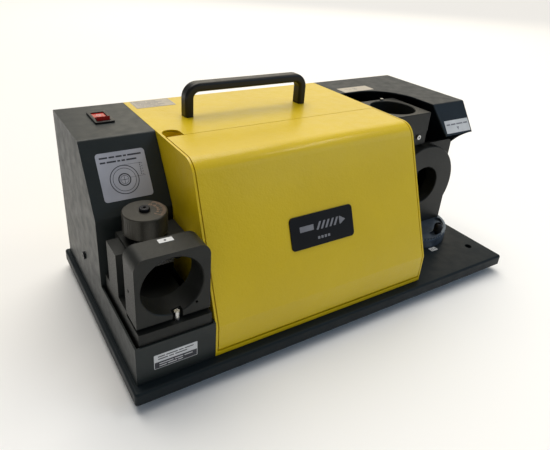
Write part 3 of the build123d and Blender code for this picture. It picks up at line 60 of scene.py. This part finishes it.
class Surface:
    """A Principled material with its nodes added step by step. Texture space is object space, in metres."""

    def __init__(self, name, colour, roughness, specular, metallic=0.0):
        self.name = name
        self.material = bpy.data.materials.new(name)
        self.material.use_nodes = True
        self.tree = self.material.node_tree
        self.shader = self.tree.nodes["Principled BSDF"]
        self.shader.inputs["Metallic"].default_value = metallic
        self.shader.inputs["Specular IOR Level"].default_value = specular
        self.shader.inputs["Roughness"].default_value = roughness
        self.shader.inputs["Base Color"].default_value = (*colour, 1)
        self.place = self.add("ShaderNodeTexCoord").outputs["Object"]
        self.normal = None

    def add(self, kind, **values):
        node = self.tree.nodes.new(kind)
        for key, value in values.items():
            setattr(node, key, value)
        return node

    def feed(self, value, socket):
        """Gives a socket a number, a colour, or another node's output."""
        if isinstance(value, (int, float)):
            socket.default_value = value
        elif isinstance(value, tuple):
            socket.default_value = (*value, 1)
        else:
            self.tree.links.new(value, socket)

    def stretched(self, scale):
        mapping = self.add("ShaderNodeMapping")
        mapping.inputs["Scale"].default_value = scale
        self.feed(self.place, mapping.inputs["Vector"])
        return mapping.outputs["Vector"]

    def noise(self, size, detail=2.0, roughness=0.5, stretch=None):
        """Noise whose features are about `size` metres across."""
        node = self.add("ShaderNodeTexNoise")
        node.inputs["Scale"].default_value = 1.0 / size
        node.inputs["Detail"].default_value = detail
        node.inputs["Roughness"].default_value = roughness
        self.feed(self.stretched(stretch) if stretch else self.place, node.inputs["Vector"])
        return node.outputs["Fac"]

    def cells(self, size):
        """Distance to the nearest of points about `size` metres apart."""
        node = self.add("ShaderNodeTexVoronoi", feature="F1")
        node.inputs["Scale"].default_value = 1.0 / size
        self.feed(self.place, node.inputs["Vector"])
        return node.outputs["Distance"]

    def ramp(self, value, low, high, out_low=0.0, out_high=1.0):
        node = self.add("ShaderNodeMapRange")
        node.inputs["From Min"].default_value = low
        node.inputs["From Max"].default_value = high
        node.inputs["To Min"].default_value = out_low
        node.inputs["To Max"].default_value = out_high
        self.feed(value, node.inputs["Value"])
        return node.outputs["Result"]

    def product(self, first, second):
        node = self.add("ShaderNodeMath", operation="MULTIPLY")
        self.feed(first, node.inputs[0])
        self.feed(second, node.inputs[1])
        return node.outputs["Value"]

    def mix(self, factor, first, second):
        node = self.add("ShaderNodeMix", data_type="RGBA")
        self.feed(first, node.inputs[MIX_FIRST])
        self.feed(second, node.inputs[MIX_SECOND])
        self.feed(factor, node.inputs[MIX_FACTOR])
        return node.outputs[MIX_RESULT]

    def colour(self, output):
        self.feed(output, self.shader.inputs["Base Color"])

    def roughness(self, value, out_low, out_high):
        self.feed(self.ramp(value, NOISE_LOW, NOISE_HIGH, out_low, out_high), self.shader.inputs["Roughness"])

    def bump(self, value, depth):
        """Adds a bump layer `depth` metres deep on top of the ones before it."""
        node = self.add("ShaderNodeBump")
        node.inputs["Distance"].default_value = depth
        self.feed(value, node.inputs["Height"])
        if self.normal:
            self.feed(self.normal, node.inputs["Normal"])
        self.normal = node.outputs["Normal"]
        self.feed(self.normal, self.shader.inputs["Normal"])


def powder_coat(name, colour, shade, roughness, specular=0.3, coat=0.0, peel=0.0011, depth=0.00006):
    """Powder-coated metal: orange peel in two sizes, faint cloudiness and pale specks."""
    cloud_size, speck_size, gloss_size = 0.07, 0.0006, 0.012
    speck_low, speck_high, speck_strength = 0.35, 0.75, 0.35
    wave_size, wave_depth = peel * 9, depth * 2.2
    s = Surface(name, colour, roughness, specular)
    s.shader.inputs["Coat Weight"].default_value = coat
    s.shader.inputs["Coat Roughness"].default_value = 0.16
    cloud = s.ramp(s.noise(cloud_size, 3), NOISE_LOW, NOISE_HIGH)
    speck = s.ramp(s.noise(speck_size, 1), speck_low, speck_high)
    lighter = tuple(min(1.0, c * 1.12 + 0.004) for c in colour)
    s.colour(s.mix(s.product(speck, speck_strength), s.mix(cloud, colour, shade), lighter))
    s.roughness(s.noise(gloss_size), roughness - 0.05, roughness + 0.07)
    s.bump(s.noise(peel, roughness=0.45), depth)
    s.bump(s.noise(wave_size), wave_depth)
    return s


def machined(name, colour, shade, roughness, metallic, specular=0.3, grain=(1, 1, 1)):
    """Blackened or bright machined metal: fine tool marks, run along by `grain`, and stains."""
    stain_size, mark_size, pit_size = 0.022, 0.0012, 0.0004
    mark_depth, pit_depth = 0.00002, 0.00001
    stain_low, stain_high = 0.35, 0.7
    s = Surface(name, colour, roughness, specular, metallic)
    stain = s.ramp(s.noise(stain_size, 4, 0.6), stain_low, stain_high)
    marks = s.noise(mark_size, stretch=grain)
    s.colour(s.mix(stain, colour, shade))
    s.roughness(marks, roughness - 0.06, roughness + 0.1)
    s.bump(marks, mark_depth)
    s.bump(s.noise(pit_size, 1), pit_depth)
    return s


def moulded(name, colour, roughness, specular=0.4, grain=0.0005, depth=0.00003):
    """Moulded plastic or rubber with a fine even grain."""
    cloud_size, gloss_size = 0.02, 0.008
    s = Surface(name, colour, roughness, specular)
    darker = tuple(c * 0.82 for c in colour)
    s.colour(s.mix(s.ramp(s.noise(cloud_size), NOISE_LOW, NOISE_HIGH), colour, darker))
    s.roughness(s.noise(gloss_size), roughness - 0.05, roughness + 0.06)
    s.bump(s.cells(grain), depth)
    return s


def film(name, colour, roughness):
    """Sticker film or print: smooth, with the finest grain."""
    return moulded(name, colour, roughness, grain=0.0003, depth=0.000004)


# ------------------------------------------------------------------ looks of the CAD nodes
slot_looks = (
    powder_coat("dark_paint", (0.016, 0.021, 0.021), (0.012, 0.016, 0.016), 0.42),
    powder_coat(
        "yellow_paint",
        (0.68, 0.485, 0.005),
        (0.63, 0.445, 0.004),
        0.36,
        coat=0.22,
        peel=0.0016,
        depth=0.00022,
    ),
    machined("black_steel", (0.017, 0.018, 0.016), (0.010, 0.011, 0.010), 0.40, 0.15, specular=0.25),
    machined("blue_grey_steel", (0.13, 0.165, 0.21), (0.085, 0.105, 0.135), 0.40, 0.6),
    machined("black_aluminium", (0.046, 0.043, 0.034), (0.032, 0.030, 0.024), 0.34, 0.3),
    machined("black_screw", (0.020, 0.021, 0.024), (0.010, 0.010, 0.012), 0.30, 0.6),
    machined("bright_steel", (0.55, 0.55, 0.54), (0.42, 0.42, 0.41), 0.28, 1.0),
    moulded("black_plastic", (0.006, 0.006, 0.005), 0.34, specular=0.3),
    moulded("grey_plastic", (0.52, 0.52, 0.50), 0.45),
    moulded("red_plastic", (0.52, 0.018, 0.012), 0.22, depth=0.000005),
    moulded("foot_rubber", (0.018, 0.018, 0.018), 0.75),
    machined("black_plate", (0.006, 0.006, 0.007), (0.004, 0.004, 0.005), 0.38, 0.0, specular=0.15),
    machined("plated_brass", (0.62, 0.54, 0.30), (0.50, 0.42, 0.22), 0.30, 1.0),
    machined("abrasive", (0.20, 0.17, 0.12), (0.13, 0.11, 0.08), 0.7, 0.2),
    powder_coat("motor_casting", (0.10, 0.105, 0.115), (0.07, 0.075, 0.08), 0.5, peel=0.002, depth=0.00015),
    machined("laminations", (0.16, 0.16, 0.165), (0.10, 0.10, 0.10), 0.45, 0.9, grain=(1, 0.02, 0.02)),
    machined("copper_wire", (0.50, 0.17, 0.05), (0.36, 0.11, 0.03), 0.35, 0.9, grain=(0.1, 1, 1)),
)
materials = {look.name: look for look in slot_looks}
# the base plate and the right housing get bluer copies of the dark paint: the dark grey is their own, the
# blue tint is painted cool light from the front
base_paint_painted_cool_light = powder_coat("base_paint_painted_cool_light", (0.008, 0.013, 0.016), (0.006, 0.010, 0.013), 0.42, specular=0.12)
right_paint_painted_cool_light = powder_coat("right_paint_painted_cool_light", (0.014, 0.020, 0.026), (0.011, 0.016, 0.021), 0.42, specular=0.17)
own_looks = {"base_plate": base_paint_painted_cool_light, "right_housing": right_paint_painted_cool_light}
pale_print = film("pale_print", (0.42, 0.43, 0.49), 0.38)
white_print = film("white_print", (0.66, 0.67, 0.68), 0.40)
silver_print = film("silver_print", (0.46, 0.41, 0.33), 0.33)
dark_ink = film("dark_ink", (0.035, 0.036, 0.045), 0.5)
dial_ink = film("dial_ink", (0.34, 0.20, 0.12), 0.5)
grey_ink = film("grey_ink", (0.20, 0.20, 0.22), 0.45)

slot_of = {part["node"]: part["material_slot"] for part in frame["record"]["subparts"]}
for node, obj in frame["nodes"].items():
    look = own_looks.get(node, materials[slot_of[node]])
    obj.data.materials.clear()
    obj.data.materials.append(look.material)


# ------------------------------------------------------------------ labels, marks and graduations
# heights above a face, in mm: a sticker's underside and top, a layer of print, and how far print sinks in
STICKER_GAP, STICKER, INK, SUNK = 0.01, 0.14, 0.03, 0.02


class Face:
    """A flat place on the machine, in mm: a runs along `across`, b along `upward`, h out of it."""

    def __init__(self, origin, across, upward, body):
        self.origin = Vector(origin)
        self.across = Vector(across).normalized()
        self.upward = Vector(upward).normalized()
        self.out = self.across.cross(self.upward)
        self.body = body

    def at(self, a, b, h):
        return self.origin + MM * (a * self.across + b * self.upward + h * self.out)

    def loop(self, bm, outline, h):
        return [bm.verts.new(self.at(a, b, h)) for a, b in outline]

    def prism(self, bm, outline, hole, low, high):
        """Prism over an outline, with an optional hole that has as many points as the outline."""
        bottom, top = self.loop(bm, outline, low), self.loop(bm, outline, high)
        walls = [(bottom, top)]
        if hole:
            inner_bottom, inner_top = self.loop(bm, hole, low), self.loop(bm, hole, high)
            walls += [(inner_top, inner_bottom), (top, inner_top), (inner_bottom, bottom)]
        else:
            bm.faces.new(top)
            bm.faces.new(bottom[::-1])
        for first, second in walls:
            for i in range(len(outline)):
                j = (i + 1) % len(outline)
                bm.faces.new((first[i], first[j], second[j], second[i]))

    def join(self, obj):
        bpy.context.scene.collection.objects.link(obj)
        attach(obj, self.body)

    def piece(self, name, shapes, look, low, high):
        """Prisms from height low to high as one piece. A shape is an outline, or an outline and a hole."""
        bm = bmesh.new()
        for shape in shapes:
            outline, hole = shape if isinstance(shape, tuple) else (shape, None)
            self.prism(bm, outline, hole, low, high)
        mesh = bpy.data.meshes.new(name)
        bm.to_mesh(mesh)
        bm.free()
        mesh.materials.append(look.material)
        self.join(bpy.data.objects.new(name, mesh))

    def sticker(self, name, outline, look):
        self.piece(name, [outline], look, STICKER_GAP, STICKER)

    def print_on_sticker(self, name, shapes, look):
        self.piece(name, shapes, look, STICKER - SUNK, STICKER + INK)

    def number(self, name, value, angle, radius, height, look):
        """A raised number on a circle about the middle, its top pointing outwards."""
        curve = bpy.data.curves.new(name, "FONT")
        curve.body = str(value)
        curve.size = height * MM
        curve.extrude = INK * MM
        curve.align_x = "CENTER"
        curve.align_y = "CENTER"
        curve.materials.append(look.material)
        obj = bpy.data.objects.new(name, curve)
        place = self.at(radius * math.cos(angle), radius * math.sin(angle), 0.0)
        axes = Matrix((self.across, self.upward, self.out)).transposed().to_4x4()
        obj.matrix_world = Matrix.Translation(place) @ axes @ Matrix.Rotation(angle - math.pi / 2, 4, "Z")
        self.join(obj)


def circle(a, b, radius, count=64):
    steps = [2 * math.pi * i / count for i in range(count)]
    return [(a + radius * math.cos(t), b + radius * math.sin(t)) for t in steps]


def ring(a, b, radius, width):
    return (circle(a, b, radius), circle(a, b, radius - width))


def bar(a, b, width, height):
    left, right = a - width / 2, a + width / 2
    low, high = b - height / 2, b + height / 2
    return [(left, low), (right, low), (right, high), (left, high)]


def rounded(width, height, radius, steps=6):
    """Rectangle with round corners about the middle of the face."""
    points = []
    for side_a, side_b, start in ((1, -1, -90), (1, 1, 0), (-1, 1, 90), (-1, -1, 180)):
        a, b = side_a * (width / 2 - radius), side_b * (height / 2 - radius)
        for i in range(steps + 1):
            t = math.radians(start + 90 * i / steps)
            points.append((a + radius * math.cos(t), b + radius * math.sin(t)))
    return points


def polar_bar(angle, inner, outer, width):
    """Straight tick that points away from the middle."""
    along = Vector((math.cos(angle), math.sin(angle)))
    side = Vector((-along.y, along.x)) * width / 2
    corners = (along * inner - side, along * outer - side, along * outer + side, along * inner + side)
    return [(p.x, p.y) for p in corners]


def word_bars(start, end, b, height, words):
    """A line of print with no words in it: blocks as wide as words, half a unit apart."""
    gap = 0.5
    unit = (end - start) / (sum(words) + gap * (len(words) - 1))
    bars = []
    a = start
    for word in words:
        bars.append(bar(a + word * unit / 2, b, word * unit, height))
        a += (word + gap) * unit
    return bars


def node_corners(node):
    """Lowest and highest corner of a CAD node's box."""
    return [Vector(corner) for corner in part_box(node)]


def middle(node):
    low, high = node_corners(node)
    return (low + high) / 2


# tower: sticker with a drawing of a drill's tip on the sloping face
tower_low, tower_high = node_corners("left_housing")
label_x = tower_low.x + 34.6 * MM
slope_foot_back, slope_foot_up, slope_run, tower_sticker_up = 93.4, 108.1, 39.4, 36.2
slope_foot = Vector((label_x, tower_low.y + slope_foot_back * MM, tower_low.z + slope_foot_up * MM))
slope_top = Vector((label_x, slope_foot.y + slope_run * MM, tower_high.z))
slope_up = (slope_top - slope_foot).normalized()
tower_face = Face(slope_foot + slope_up * tower_sticker_up * MM, RIGHT, slope_up, "machine")
tower_face.sticker("tower_sticker", rounded(45.2, 44.5, 3.0), pale_print)
tip = (-0.8, -4.2)
tip_rings = ((13.4, 0.75), (10.7, 0.45), (5.9, 1.1), (3.9, 0.35))
tip_drawing = [
    *[ring(*tip, radius, width) for radius, width in tip_rings],
    bar(*tip, 0.4, 7.4),
    bar(*tip, 7.4, 0.4),
    bar(8.5, 9.1, 17.5, 0.25),
    bar(12.0, -3.0, 14.0, 0.25),
    *[bar(15.6, -1.6 + 1.7 * i, 0.7, 1.0) for i in range(7)],
    *[bar(17.4, -2.0 + 2.6 * i, 1.0, 0.5) for i in range(5)],
    *word_bars(-19.5, 19.0, 17.6, 1.5, (3.2, 2.2, 2.4, 1.2, 5.4)),
    *word_bars(-19.5, 14.0, 13.4, 1.5, (2.2, 3.8, 1.2, 1.5, 4.2)),
]
tower_face.print_on_sticker("tower_sticker_print", tip_drawing, dark_ink)

# tray front: two-tone label
panel_label_up = 18.5
panel_place = (label_x + 0.2 * MM, tower_low.y, tower_low.z + panel_label_up * MM)
panel_face = Face(panel_place, RIGHT, UP, "machine")
panel_face.sticker("panel_label", rounded(39.2, 15.0, 0.8), white_print)
panel_face.print_on_sticker("panel_label_band", [bar(0, -3.75, 38.2, 6.6)], dark_ink)
upper_lines = [*word_bars(-16, 16, 5.0, 1.0, (3, 5, 2, 4)), *word_bars(-16, 10, 2.4, 1.0, (4, 2, 5))]
panel_face.print_on_sticker("panel_label_print", upper_lines, dark_ink)
band_lines = [*word_bars(-15, 15, -2.6, 0.9, (5, 3, 3)), *word_bars(-15, 6, -5.0, 0.9, (3, 4, 2))]
band_low, band_high = STICKER + INK - SUNK / 2, STICKER + 2 * INK
panel_face.piece("panel_label_band_print", band_lines, white_print, band_low, band_high)

# right housing: label on the front flange, and one on the roof
roof_low, roof_high = node_corners("right_housing")
flange_run, flange_rise = 23.2, 33.5
flange_label_up, flange_label_from_right = 10.4, 24.6
flange_up = Vector((0, flange_run, flange_rise)).normalized()
flange_label_x = roof_high.x - flange_label_from_right * MM
flange_foot = Vector((flange_label_x, roof_low.y, roof_high.z - flange_rise * MM))
flange_face = Face(flange_foot + flange_up * flange_label_up * MM, RIGHT, flange_up, "machine")
flange_face.sticker("flange_label", rounded(42.0, 15.9, 0.6), white_print)
arrow = [(-2.1, -0.9), (0, -4.9), (2.1, -0.9)]
flange_print = [*word_bars(-18.5, 18.5, 2.6, 1.7, (2.2, 2.8, 3.8, 2.4)), arrow]
flange_face.print_on_sticker("flange_label_print", flange_print, grey_ink)

roof_label_from_left, roof_label_from_back = 33.2, 47.4
roof_place = (roof_low.x + roof_label_from_left * MM, roof_high.y - roof_label_from_back * MM, roof_high.z)
roof_face = Face(roof_place, RIGHT, BACK, "machine")
roof_face.sticker("roof_label", rounded(48.0, 18.0, 0.8), silver_print)
roof_print = [ring(0, 1.5, 3.0, 0.6), circle(0, 1.5, 1.2, 24), *word_bars(-18, -6, 1.5, 1.1, (3, 2))]
roof_face.print_on_sticker("roof_label_print", roof_print, grey_ink)

# cover: framed label with lines of print at the rear left of the roof
cover_low, cover_high = node_corners("cover_body")
cover_label_from_left, cover_label_from_back = 28.4, 16.4
cover_x, cover_y = cover_low.x + cover_label_from_left * MM, cover_high.y - cover_label_from_back * MM
cover_face = Face((cover_x, cover_y, cover_high.z), RIGHT, BACK, "machine")
cover_face.sticker("cover_label", rounded(44.0, 25.5, 0.8), silver_print)
top_row, row_pitch, row_height = 8.5, 4.2, 1.3
cover_print = []
for row, words in enumerate(((4, 2, 5), (3, 4), (2, 5, 3), (5, 2), (3, 3, 4))):
    cover_print += word_bars(-19, 6 + 6 * (row % 2), top_row - row_pitch * row, row_height, words)
cover_print.append((bar(0, 0, 42.0, 23.5), bar(0, 0, 41.2, 22.7)))
cover_face.print_on_sticker("cover_label_print", cover_print, grey_ink)

# setting block: white tag with a dot
block_low, block_high = node_corners("setting_block")
tag_from_left, tag_from_back = 33.9, 5.3
tag_place = (block_low.x + tag_from_left * MM, block_high.y - tag_from_back * MM, block_high.z)
tag_face = Face(tag_place, RIGHT, BACK, "machine")
tag_face.sticker("block_tag", rounded(12.6, 5.9, 0.5), white_print)
tag_face.print_on_sticker("block_tag_dot", [circle(-0.5, 0, 1.1, 24)], dark_ink)

# dial: graduations with plain numbers at the long ones, and ribs round the grip
dial_low, dial_high = node_corners("dial_knob")
dial_x, dial_y, _ = middle("dial_knob")
dial_face = Face((dial_x, dial_y, dial_high.z), RIGHT, BACK, "dial")
first_tick_angle, tick_angle, tick_count, ticks_per_number = -55, 4, 26, 5
long_tick_inner, short_tick_inner, tick_outer, tick_width = 13.6, 15.4, 18.2, 0.28
dial_ticks = []
for step in range(tick_count):
    inner = short_tick_inner if step % ticks_per_number else long_tick_inner
    angle = math.radians(first_tick_angle + tick_angle * step)
    dial_ticks.append(polar_bar(angle, inner, tick_outer, tick_width))
dial_face.piece("dial_ticks", dial_ticks, dial_ink, 0.0, INK)
first_number, number_step, number_radius, number_height = 2, 4, 11.4, 3.4
for step in range(tick_count // ticks_per_number + 1):
    angle = math.radians(first_tick_angle + tick_angle * ticks_per_number * step)
    value = first_number + number_step * step
    name = f"dial_number_{step}"
    dial_face.number(name, value, angle, number_radius, number_height, dial_ink)
rib_count, rib_inner, rib_outer, rib_width = 48, 19.55, 19.75, 0.5
grip_up, rib_low, rib_high = 6.7, 1.2, 16.8
grip_face = Face((dial_x, dial_y, dial_low.z + grip_up * MM), RIGHT, BACK, "dial")
rib_angles = [math.radians(360 / rib_count * i) for i in range(rib_count)]
grip_ribs = [polar_bar(angle, rib_inner, rib_outer, rib_width) for angle in rib_angles]
grip_look = materials["black_aluminium"]
grip_face.piece("dial_grip_ribs", grip_ribs, grip_look, rib_low, rib_high)

# name plate: a twist drill in outline, with no lettering
door_run, door_rise, door_kink_up, plate_up = 52.6, 136.5, 31.9, 62.5
door_up = Vector((0, door_run, door_rise)).normalized()
door_kink = Vector((middle("name_plate").x, cover_low.y, cover_low.z + door_kink_up * MM))
plate_face = Face(door_kink + door_up * plate_up * MM, RIGHT, door_up, "door")
drill_low, drill_high, flute_pitch = -0.8, 6.8, 5.2
pictogram = [bar(-19.0, 3.0, 16.0, 5.4)]
for i in range(5):
    a = -8 + flute_pitch * i
    pictogram.append([(a, drill_low), (a + 2.4, drill_low), (a + 6.4, drill_high), (a + 4.0, drill_high)])
pictogram.append([(21.4, drill_low), (27.6, 3.0), (21.4, drill_high), (20.2, drill_high), (20.2, drill_low)])
pictogram += [bar(-6.0 + 4.0 * i, -8.6, 2.6, 2.6) for i in range(4)]
plate_print_low, plate_print_high = 1.19, 1.24
plate_face.piece("plate_pictogram", pictogram, grey_ink, plate_print_low, plate_print_high)

# rocker: ring printed on its rear face, and bar on its front face, which leans
rocker_joint = next(j for j in frame["record"]["behaviour"]["joints"] if j["name"] == "switch_tilt")
pivot = Vector(rocker_joint["pos_m"])
rocker_x = middle("switch_rocker").x
rocker_lean = math.radians(20)
rocker_print = 0.06
ring_back, ring_up, bar_forward, bar_up = 6.8, 2.95, 5.4, 5.11
off_face = Face((rocker_x, pivot.y + ring_back * MM, pivot.z + ring_up * MM), RIGHT, BACK, "rocker")
off_face.piece("rocker_ring", [ring(0, 0, 2.4, 0.6)], white_print, 0.0, rocker_print)
lean_up = (0, math.cos(rocker_lean), -math.sin(rocker_lean))
on_face = Face((rocker_x, pivot.y - bar_forward * MM, pivot.z + bar_up * MM), RIGHT, lean_up, "rocker")
on_face.piece("rocker_bar", [bar(0, 0, 0.8, 4.6)], white_print, 0.0, rocker_print)

# swivel: graduations on the turning plate's rim, and an index mark on the base plate in front of it
swivel_low, swivel_high = node_corners("swivel_base")
swivel_x, swivel_y, _ = middle("swivel_base")
rim_radius = (swivel_high.x - swivel_low.x) / 2
rim_middle = Vector((swivel_x, swivel_y, middle("swivel_plate").z))
first_degrees, last_degrees, degrees_apart = -120, -20, 5
for index, degrees in enumerate(range(first_degrees, last_degrees + 1, degrees_apart)):
    angle = math.radians(degrees)
    out = Vector((math.cos(angle), math.sin(angle), 0))
    rim_face = Face(rim_middle + out * rim_radius, (-out.y, out.x, 0), UP, "seat")
    rim_face.piece(f"swivel_tick_{index}", [bar(0, 0, 0.35, 2.2)], white_print, -INK, INK)
index_left, index_forward = 5.4, 55.2
index_place = (swivel_x - index_left * MM, swivel_y - index_forward * MM, swivel_low.z)
index_face = Face(index_place, RIGHT, BACK, "machine")
index_face.sticker("swivel_index", rounded(10.5, 6.5, 0.4, 3), white_print)
index_marks = [bar(0, 0, 0.9, 5.0), bar(-3.0, -0.8, 1.4, 3.0), bar(3.0, -0.8, 1.4, 3.0)]
index_face.print_on_sticker("swivel_index_print", index_marks, dark_ink)

# ------------------------------------------------------------------ floor, light and camera
FLOOR_HALF = 40
floor_corners = [
    (-FLOOR_HALF, -FLOOR_HALF, 0),
    (FLOOR_HALF, -FLOOR_HALF, 0),
    (FLOOR_HALF, FLOOR_HALF, 0),
    (-FLOOR_HALF, FLOOR_HALF, 0),
]
floor_mesh = bpy.data.meshes.new("floor")
floor_mesh.from_pydata(floor_corners, [], [(0, 1, 2, 3)])
floor = bpy.data.objects.new("floor", floor_mesh)
bpy.context.scene.collection.objects.link(floor)
floor_look = Surface("floor_look", (0.90, 0.90, 0.895), 0.85, specular=0.1)
floor_look.roughness(floor_look.noise(0.05), 0.8, 0.9)
floor.data.materials.append(floor_look.material)

world = bpy.data.worlds.new("world")
bpy.context.scene.world = world
world.use_nodes = True
sky = world.node_tree.nodes["Background"]
sky.inputs["Color"].default_value = (0.95, 0.97, 1.0, 1)
sky.inputs["Strength"].default_value = 0.22
bpy.context.scene.view_settings.view_transform = "Standard"


def area_light(name, place, target, size, power, colour):
    data = bpy.data.lights.new(name, "AREA")
    data.shape = "RECTANGLE"
    data.size, data.size_y = size
    data.energy = power
    data.color = colour
    light = bpy.data.objects.new(name, data)
    light.location = place
    light.rotation_euler = (Vector(target) - Vector(place)).to_track_quat("-Z", "Y").to_euler()
    bpy.context.scene.collection.objects.link(light)


def wide_sun(name, from_direction, spread, strength, colour):
    """A sun so wide that its shadows are soft, as under a bright ceiling."""
    data = bpy.data.lights.new(name, "SUN")
    data.energy = strength
    data.angle = math.radians(spread)
    data.color = colour
    light = bpy.data.objects.new(name, data)
    light.rotation_euler = Vector(from_direction).to_track_quat("Z", "Y").to_euler()
    bpy.context.scene.collection.objects.link(light)


wide_sun("ceiling", from_direction=(0.12, 0.62, 1.4), spread=55, strength=2.65, colour=(1.0, 0.955, 0.88))
area_light(
    "back",
    place=(1.3, 1.8, 1.3),
    target=(0.0, 0.0, 0.15),
    size=(2.6, 1.5),
    power=15,
    colour=(1.0, 0.90, 0.70),
)
area_light(
    "window",
    place=(1.3, -1.5, 1.0),
    target=(0.0, 0.0, 0.1),
    size=(1.4, 1.0),
    power=6.0,
    colour=(0.38, 0.66, 1.0),
)
area_light(
    "lamp",
    place=(0.85, -0.41, 1.36),
    target=(-0.05, -0.06, 0.18),
    size=(0.6, 0.10),
    power=2.2,
    colour=(1.0, 0.98, 0.94),
)

# the photograph's viewpoint: the camera's place, and which way its right, top and back sides face
camera_place = (-0.3202, -0.4207, 0.3599)
camera_axes = ((0.8574, -0.5117, 0.0550), (0.1885, 0.4116, 0.8917), (-0.4789, -0.7542, 0.4494))
camera_data = bpy.data.cameras.new("camera")
camera_data.sensor_width = 36.0
camera_data.lens = 33.79
camera_data.shift_x = 0.0338
camera_data.shift_y = -0.0531
camera = bpy.data.objects.new("camera", camera_data)
camera.matrix_world = Matrix.Translation(camera_place) @ Matrix(camera_axes).transposed().to_4x4()
bpy.context.scene.collection.objects.link(camera)
bpy.context.scene.camera = camera
